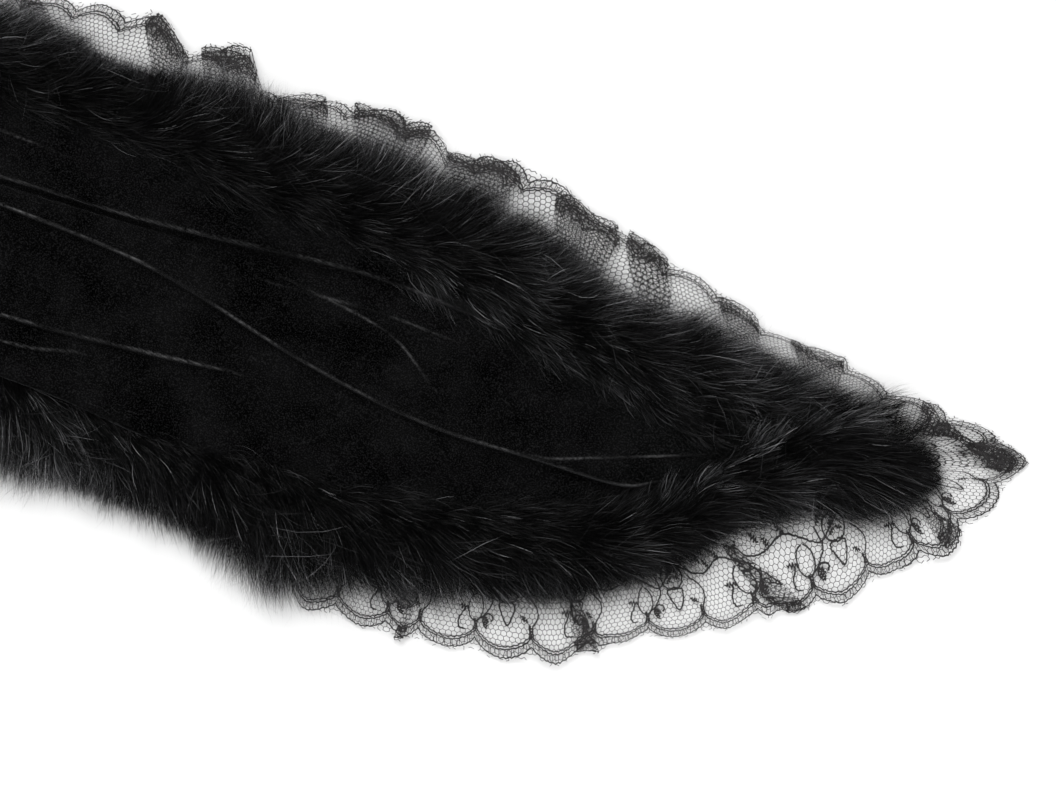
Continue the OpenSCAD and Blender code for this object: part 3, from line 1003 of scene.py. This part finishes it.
# Folds of each ruffle as (back, overlap): the lace doubles under and forward again, its visible edge towards
# the tip.
RUFFLE_FOLDS = {
    NECK: [(30, 8), (70, 26), (110, 22), (155, 19), (180, 30), (230, 32), (275, 34), (320, 20), (350, 26),
           (380, 21), (440, 13), (475, 10), (505, 14), (540, 10), (570, 13), (610, 9), (645, 14), (680, 10),
           (715, 12)],
    HEM: [(25, 12), (80, 11), (155, 10), (225, 5), (290, 9), (340, 7), (390, 8), (440, 7), (480, 9),
          (515, 7), (550, 8), (590, 7), (625, 9), (660, 7), (700, 8)],
}
# How far each fold runs along the ruffle on its way in from the edge, as (back, millimetres).
SLANT = {NECK: [(0, 10), (40, 28), (760, 28)], HEM: [(0, 0), (45, 0), (80, -32), (155, -14), (200, 10)]}
# Millimetres of edge for each millimetre of flat lace between the folds, and where the lace begins.
EASE = {NECK: 0.86, HEM: 0.95}
START = {NECK: -4.0, HEM: -14.0}
# Where the hem ruffle is turned under beside the fur at the left of the photo, and by what share of its depth.
UNDER_FROM, UNDER_TO, UNDER_SHARE = 260, 460, 0.58
LOWEST_THREAD, HIGHEST_THREAD = 0.3, 6.0
# Narrow pleats that stick out past the edge, as (back, share of the lace's depth).
SPIKES = {NECK: [(70, 0.05)], HEM: [(155, 0.06), (95, 0.06)]}


def fold_tables(side, even, back_of):
    """Where the flat lace's edge goes as it is folded: flat position, position along the edge, and lift."""
    forward = 1.6
    flat, edge, lift = [0.0], [START[side]], [0.0]
    for back, overlap in RUFFLE_FOLDS[side]:
        place = float(np.interp(back, back_of, even))
        ahead, behind = place, place + overlap
        flat += [flat[-1] + (behind - edge[-1]) / EASE[side]]
        flat += [flat[-1] + overlap]
        flat += [flat[-1] + forward * overlap]
        edge += [behind, ahead, ahead + forward * overlap]
        lift += [0.15, 1.7, 0.9]
    flat.append(flat[-1] + (even[-1] - edge[-1]) / EASE[side])
    edge.append(even[-1])
    lift.append(0.0)
    dense = np.arange(0, flat[-1] + 1.5, 0.5)
    table, height = np.interp(dense, flat, edge), np.interp(dense, flat, lift)
    knots = np.linspace(0, flat[-1], len(flat) // 3)
    even_out = np.interp(dense, knots, np.interp(knots, dense, table))
    return flat[-1], dense, rounded_off(table, FOLD_WINDOW), rounded_off(height, FOLD_WINDOW), even_out


def bunched_band(u, v, depth):
    """X, Y and Z of the neck ruffle's first stretch, pleated to and fro into a band."""
    folded = np.abs((u / BUNCH_WIDTH + 0.25 * np.sin(v / 5.0)) % 2 - 1)
    off = (folded - 0.5) * BUNCH_WIDTH * (0.85 + 0.4 * np.sin(v / 5.0 + 1)) + 1.5 * np.sin(v / 6.0)
    back, across = (a + (b - a) * depth for a, b in zip(BUNCH_FROM, BUNCH_TO))
    across = across + 2.5 * np.sin(math.pi * depth)
    return (*lay(back - 0.4 * off, across + 0.9 * off), 2.6 + 0.7 * np.sin(u * 0.9))


def ruffle(side, half, seed):
    """The net, cords and motifs of one ruffle, gathered and folded along its edge of the stole."""
    even, back_of, inner, outer = edge_paths(side)
    length, dense, table, height, even_out = fold_tables(side, even, back_of)
    rng = np.random.default_rng(seed)
    turned_under = side == HEM and half == "right"
    bunch = BUNCH if side == NECK else 0

    def place(uv):
        """Flat lace (u, v) to X, Y and Z in the gathered ruffle."""
        u, v = uv[..., 0] - bunch, uv[..., 1]
        depth = np.clip(v / LACE_DEPTH, 0, 1.06)
        spread = 0.5 + 0.5 * smooth(depth * 1.15)
        # where along the edge it goes: the folds open out towards the gathers and slant on the way
        unfolded = np.interp(u, dense, even_out)
        slid = u + at_back(SLANT[side], np.interp(unfolded, even, back_of)) * (1 - depth)
        straight = np.interp(slid, dense, even_out)
        moved = unfolded + (np.interp(slid, dense, table) - straight) * spread
        moved = moved + 0.7 * np.sin(2 * math.pi * u / 31.0 + seed) * spread * smooth((even[-1] - moved) / 20)
        moved = np.clip(moved, even[0], even[-1])
        back = np.interp(moved, even, back_of)
        rise = np.interp(slid, dense, height) * spread
        ix, iy, ox, oy = (np.interp(moved, even, path[:, k]) for path in (inner, outer) for k in (0, 1))
        # how far out it reaches: the edge waves in and out, with the dents and spikes of its outline
        swing = 0.03 + 0.03 * np.sin(u / 11.0 + 2 * seed) + 0.025 * np.sin(u / 27.0)
        swing = swing * smooth(np.abs(moved) / 40) + 0.02 * waves(moved, v, 45, seed + 7)
        for spike_back, stretch in SPIKES[side]:
            swing = swing - stretch * bell(moved, np.interp(spike_back, back_of, even), 3.0)
        span = np.hypot(ox - ix, oy - iy)
        inward = np.clip(1 - depth, -0.06, 1)
        swing = swing + at_back(EDGE_DENT[side], back) * (moved > 0) / span
        stretched = 1 + (span / LACE_DEPTH - 1) * smooth(inward)
        reach = 1.015 - inward * LACE_DEPTH / span * stretched - swing * depth**2
        crumple = 0.0
        if turned_under:
            under = between(back, UNDER_FROM, UNDER_TO, 20, 20)
            reach = reach * (1 - UNDER_SHARE * under)
            crumple = under * 1.1 * (1 + np.sin(v / 2.6 + u / 9.0))
        x = ix + (ox - ix) * reach
        y = iy + (oy - iy) * reach
        z = 0.45 + 0.8 * (1 - depth) + rise + crumple + 0.45 * (1 + waves(moved, v, 26, seed)) * spread
        if side == NECK:
            bunched = uv[..., 0].mean(-1, keepdims=True) < BUNCH
            x, y, z = (np.where(bunched, in_band, here)
                       for in_band, here in zip(bunched_band(uv[..., 0], v, depth), (x, y, z)))
        return np.stack([x, y, np.clip(z, LOWEST_THREAD, HIGHEST_THREAD)], -1)

    length += bunch
    cords, bars = border_threads(length, rng)
    outlines, fills = motif_threads(length, rng)
    if side == NECK:
        outlines, fills = (part[part[:, :, 0].max(1) < WORKED_END] for part in (outlines, fills))
    groups = [(net_threads(length, rng), NET_WIDTH[side]), (cords, CORD_WIDTH), (bars, NET_WIDTH[HEM]),
              (outlines, MOTIF_WIDTH), (fills, FILL_WIDTH)]
    points, quads, start, flat_area = [], [], 0, 0.0
    # slide the pattern so that a scallop, not a cusp, is at the very tip
    slide = np.interp(0.0, table, dense) + bunch - SCALLOP / 2
    slide = slide - SCALLOP * math.ceil(slide / SCALLOP)
    for threads, width in groups:
        threads = threads + np.array([slide, 0])
        threads = threads[(threads[:, :, 0].min(1) > 0) & (threads[:, :, 0].min(1) < length)]
        step = threads[:, 1] - threads[:, 0]
        run = np.linalg.norm(step, axis=1, keepdims=True) + 1e-9
        sideways = np.stack([-step[:, 1], step[:, 0]], 1) / run * width / 2
        reach = step / run * width * 0.3
        a, b = threads[:, 0] - reach, threads[:, 1] + reach
        corners = np.stack([a - sideways, b - sideways, b + sideways, a + sideways], 1)
        placed = place(corners)
        placed[..., 2] += rng.uniform(0, 0.12, len(threads))[:, None]
        points.append(placed.reshape(-1, 3))
        quads.append(np.arange(start, start + 4 * len(threads)).reshape(-1, 4))
        start += 4 * len(threads)
        flat_area += float((run[:, 0] * width).sum())
    name = "lace_ruffle_" + EDGE_NAME[side] + "_" + half
    piece = mesh_piece(name + "_threads", np.concatenate(points), quads=np.concatenate(quads),
                       left=half == "left", is_smooth=False)
    plan_map(piece)
    finish_piece(piece, half, [NET], [name], True)


# ---------------------------------------------------------------- stitches
# Length and thickness of each kind of stitch.
EDGE_STITCH, MITRE_STITCH, CENTRE_STITCH = (2.6, 0.3), (5.0, 0.5), (3.2, 0.4)
EDGE_PITCH, CENTRE_PITCH, CENTRE_BESIDE = 7.0, 4.6, 1.8
STITCH_INSET, STITCH_SINK, STITCH_SAG = 1.6, 0.05, 0.25
MITRE_COUNT = 9
# The layers between velvet and lining.
FLEECE_INSET = 9.6
TAPE_INSETS = (7.0, 1.0)


def stitch_row(name, half, places, directions, size, node_names, crosses_fold=False):
    """Short rounded stitches at places, each lying along its direction."""
    length, thickness = size
    sides = 6
    ring = np.linspace(0, 2 * math.pi, sides, endpoint=False)
    profile = [(-0.5, 0.25), (-0.32, 0.9), (0, 1), (0.32, 0.9), (0.5, 0.25)]
    points, quads, start = [], [], 0
    for place_at, direction in zip(places, directions):
        direction = direction / np.linalg.norm(direction)
        flat = np.array([-direction[1], direction[0], 0])
        up = np.cross(direction, flat)
        for along, girth in profile:
            sag = -STITCH_SAG * (2 * along) ** 2
            for angle in ring:
                points.append(place_at + direction * along * length + up * sag
                              + (flat * math.cos(angle) + up * math.sin(angle)) * thickness / 2 * girth)
        for k in range(len(profile) - 1):
            for m in range(sides):
                a, b = start + k * sides + m, start + k * sides + (m + 1) % sides
                quads.append((a, b, b + sides, a + sides))
        start += len(profile) * sides
    piece = mesh_piece(name, np.array(points), quads=np.array(quads), left=half == "left")
    finish_piece(piece, half, [THREAD], node_names, crosses_fold)


def edge_stitches(side, half):
    """The row of stitches that joins the velvet to one fur strip."""
    back = np.arange(VELVET_BACK + 14, TIP_RUN - 4, EDGE_PITCH)
    across = velvet_edge(side, back) - side * STITCH_INSET
    z, _ = velvet_height(back, across, VELVET_SEED[half])
    ahead = lay(back - 1, velvet_edge(side, back - 1) - side * STITCH_INSET)
    here = lay(back, across)
    directions = np.stack([ahead[0] - here[0], ahead[1] - here[1], np.zeros(len(back))], 1)
    places = np.stack([here[0], here[1], z - STITCH_SINK], 1)
    name = "edge_stitching_" + EDGE_NAME[side] + "_" + half
    stitch_row(name + "_thread", half, places, directions, EDGE_STITCH, [name], True)


def closed_strip(name, half, back, inner, outer, under, top, columns=7):
    """A thin closed strip between two edges; under and top give the heights of its faces at X and Y."""
    rows, share = rows_and_shares(back, columns)
    across = inner[:, None] + (outer - inner)[:, None] * share
    x, y = lay(rows, across)
    x, y, z, closing = over_and_under(x, y, top(x, y), under(x, y))
    last = (x.shape[0] - 1) * x.shape[1]
    ring = np.arange(columns - 1)
    ends = np.stack([ring, 2 * columns - 1 - ring, 2 * columns - 2 - ring, ring + 1], 1)
    faces_down = (outer - inner).mean() > 0
    return grid_piece(name, x, y, z, half == "left", faces_down, [closing, ends, last + ends[:, ::-1]])


def inset_edge(side, back, inset):
    """The velvet's edge moved inwards, but not past the centreline."""
    edge = velvet_edge(side, back)
    return edge - side * np.minimum(inset, np.abs(edge))


def interlining(half):
    """Fleece inside the fur strips, a little wavy on both faces."""
    back = np.arange(VELVET_BACK + 24, SEAM_BACK, 4.0)

    def under(x, y):
        return LACE_Z + 0.3 + 0.2 * waves(x, y, 22, 31)

    def top(x, y):
        return PELT_TOP - 0.4 + 0.3 * waves(x, y, 15, 32)

    edges = [inset_edge(side, back, FLEECE_INSET) for side in (HEM, NECK)]
    piece = closed_strip("interlining_" + half + "_fleece", half, back, *edges, under, top, columns=40)
    finish_piece(piece, half, [FLEECE], ["interlining_" + half], True)


def ruffle_tape(side, half):
    """Ribbed grosgrain tape over the ruffle's gathered edge."""
    back = np.arange(PELT_BACK + 7, SEAM_BACK, 0.9)

    def ribbed(height):
        return lambda x, y: height + 0.06 * np.sin(2 * math.pi * (x + 0.3 * y) / 1.8)

    edges = [side * np.maximum(0.02, np.abs(pelt_edge(side, back, inset))) for inset in TAPE_INSETS]
    name = "ruffle_tape_" + EDGE_NAME[side] + "_" + half
    piece = closed_strip(name + "_ribbon", half, back, *edges, ribbed(TAPE_Z + 0.1), ribbed(TAPE_Z + 0.5))
    finish_piece(piece, half, [TAPE], [name], True)


def mitre_stitches(half):
    """Stitches across the butt of the two fur backings, on their underside."""
    start, end = (np.array(lay(back, across)) for back, across in ((VELVET_BACK + 13, 0.0), (86.0, 22.0)))
    share = (np.arange(MITRE_COUNT) + 0.5) / MITRE_COUNT
    flat = start + (end - start) * share[:, None]
    places = np.column_stack([flat, np.full(MITRE_COUNT, TAPE_Z + 0.35)])
    crossing = np.array([-(end - start)[1], (end - start)[0], 0.0])
    name = "mitre_stitching_" + half
    stitch_row(name + "_thread", half, places, [crossing] * MITRE_COUNT, MITRE_STITCH, [name])


def centre_back_stitches():
    """The row of stitches down the left side of the centre-back seam."""
    across = np.arange(-46, 47, CENTRE_PITCH)
    count = len(across)
    z, _ = velvet_height(np.full(count, TIP_RUN - CENTRE_BESIDE), across, VELVET_SEED["left"])
    places = np.column_stack([np.full(count, CENTRE_BESIDE), across, z - STITCH_SINK])
    along_seam = [np.array([0.0, 1.0, 0.0])] * count
    name = "centre_back_stitching"
    stitch_row(name + "_thread", "left", places, along_seam, CENTRE_STITCH, [name])


VELVET_SEED = {"right": 3, "left": 8}
RUFFLE_SEED = {"right": 5, "left": 6}
LINING_SEED = 21
for half in HALVES:
    velvet_face(half, VELVET_SEED[half])
    lining(half, LINING_SEED)
    for side in (NECK, HEM):
        fur_backing(half, side)
        ruffle(side, half, RUFFLE_SEED[half] + side)
        edge_stitches(side, half)
        ruffle_tape(side, half)
    interlining(half)
    mitre_stitches(half)
centre_back_stitches()

# Hairs for each square millimetre: many on the seen end, up to SEEN_END, and fewer, wider ones elsewhere.
DENSE, SPARSE, WIDER = 8.0, 1.4, 1.7
SEEN_END, SEEN_PARTS = 470, 5
CENTRE_START = TIP_RUN - 45
for side in (NECK, HEM):
    name = "fur_" + EDGE_NAME[side]
    cuts = np.linspace(PELT_BACK, SEEN_END, SEEN_PARTS + 1)
    for number, (nearest, farthest) in enumerate(zip(cuts, cuts[1:])):
        fur_stretch(f"{name}_right_{number}", "right", side, nearest, farthest, DENSE, 11 + 7 * number + side)
    fur_stretch(name + "_right_tuft", "right", side, PELT_BACK, 96, 1.3 * DENSE, 61 + side, mix=TUFTS)
    for part, half, nearest, farthest, seed in (("middle", "right", SEEN_END, CENTRE_START, 64),
                                                ("point", "left", PELT_BACK, 400, 67),
                                                ("middle", "left", 400, CENTRE_START, 70)):
        fur_stretch(f"{name}_{half}_{part}", half, side, nearest, farthest, SPARSE, seed + side, coarse=WIDER)
    fur_stretch(name + "_left_tuft", "left", side, PELT_BACK, 110, SPARSE, 73 + side, coarse=1.5, mix=TUFTS)
    fur_stretch(name + "_centre", "right", side, CENTRE_START, TIP_RUN, 2 * SPARSE, 76 + side,
                crosses_fold=True, coarse=WIDER)

# ---------------------------------------------------------------- floor, light and camera
FLOOR_REACH, FLOOR_DROP = 9000, 0.0002
corners = [(x * FLOOR_REACH, y * FLOOR_REACH, 0) for x, y in ((-1, -1), (1, -1), (1, 1), (-1, 1))]
floor = mesh_piece("floor", corners, quads=[(0, 1, 2, 3)])
floor.location.z = -FLOOR_DROP
FLOOR, _ = new_material("pale_floor", Roughness=0.9, Specular_IOR_Level=0.1, Base_Color=(0.76, 0.76, 0.76, 1))
floor.data.materials.append(FLOOR)

world = bpy.data.worlds.new("soft_white")
bpy.context.scene.world = world
world.use_nodes = True
sky = world.node_tree.nodes["Background"]
sky.inputs["Color"].default_value = (1, 1, 1, 1)
sky.inputs["Strength"].default_value = 0.5
LIGHT_ANGLE = math.radians(26)


def far_light(name, azimuth, elevation, strength):
    """A wide, distant soft light that falls evenly on the whole stole, azimuth from +X towards +Y."""
    light = bpy.data.lights.new(name, "SUN")
    light.angle, light.energy = LIGHT_ANGLE, strength
    lamp = bpy.data.objects.new(name, light)
    bpy.context.scene.collection.objects.link(lamp)
    azimuth, elevation = math.radians(azimuth), math.radians(elevation)
    way = Vector((math.cos(azimuth) * math.cos(elevation), math.sin(azimuth) * math.cos(elevation),
                     math.sin(elevation)))
    lamp.location = 2 * way
    lamp.rotation_euler = way.to_track_quat("Z", "Y").to_euler()


far_light("light_key", 118, 46, 2.1)
far_light("light_right", 20, 52, 0.6)
far_light("light_front", -75, 50, 0.65)
far_light("light_left", 195, 50, 0.55)

PHOTO_TILT = math.radians(19.5)
# Width of the stretch of floor that the picture shows, and its middle from the tip: back and upwards in it.
PHOTO_WIDTH = 422.0
VIEW_BACK, VIEW_UP = 200.0, 25.0
LENS, SENSOR = 100.0, 36.0
# Height above the floor at which PHOTO_WIDTH holds.
SCALE_HEIGHT = 8.0
camera = bpy.data.objects.new("camera", bpy.data.cameras.new("camera"))
bpy.context.scene.collection.objects.link(camera)
camera.data.lens, camera.data.sensor_width = LENS, SENSOR
camera_height = PHOTO_WIDTH / SENSOR * LENS + SCALE_HEIGHT
right_way = np.array([math.cos(PHOTO_TILT), math.sin(PHOTO_TILT)])
up_way = np.array([-math.sin(PHOTO_TILT), math.cos(PHOTO_TILT)])
tip = np.array(lay(0.0, 0.0), float)
middle_of_view = tip - VIEW_BACK * right_way + VIEW_UP * up_way
camera.location = (middle_of_view[0] * MM, middle_of_view[1] * MM, camera_height * MM)
camera.rotation_euler = (0, 0, PHOTO_TILT)
camera.data.clip_start, camera.data.clip_end = 0.05, 20
bpy.context.scene.camera = camera
bpy.context.scene.view_settings.view_transform = "Standard"
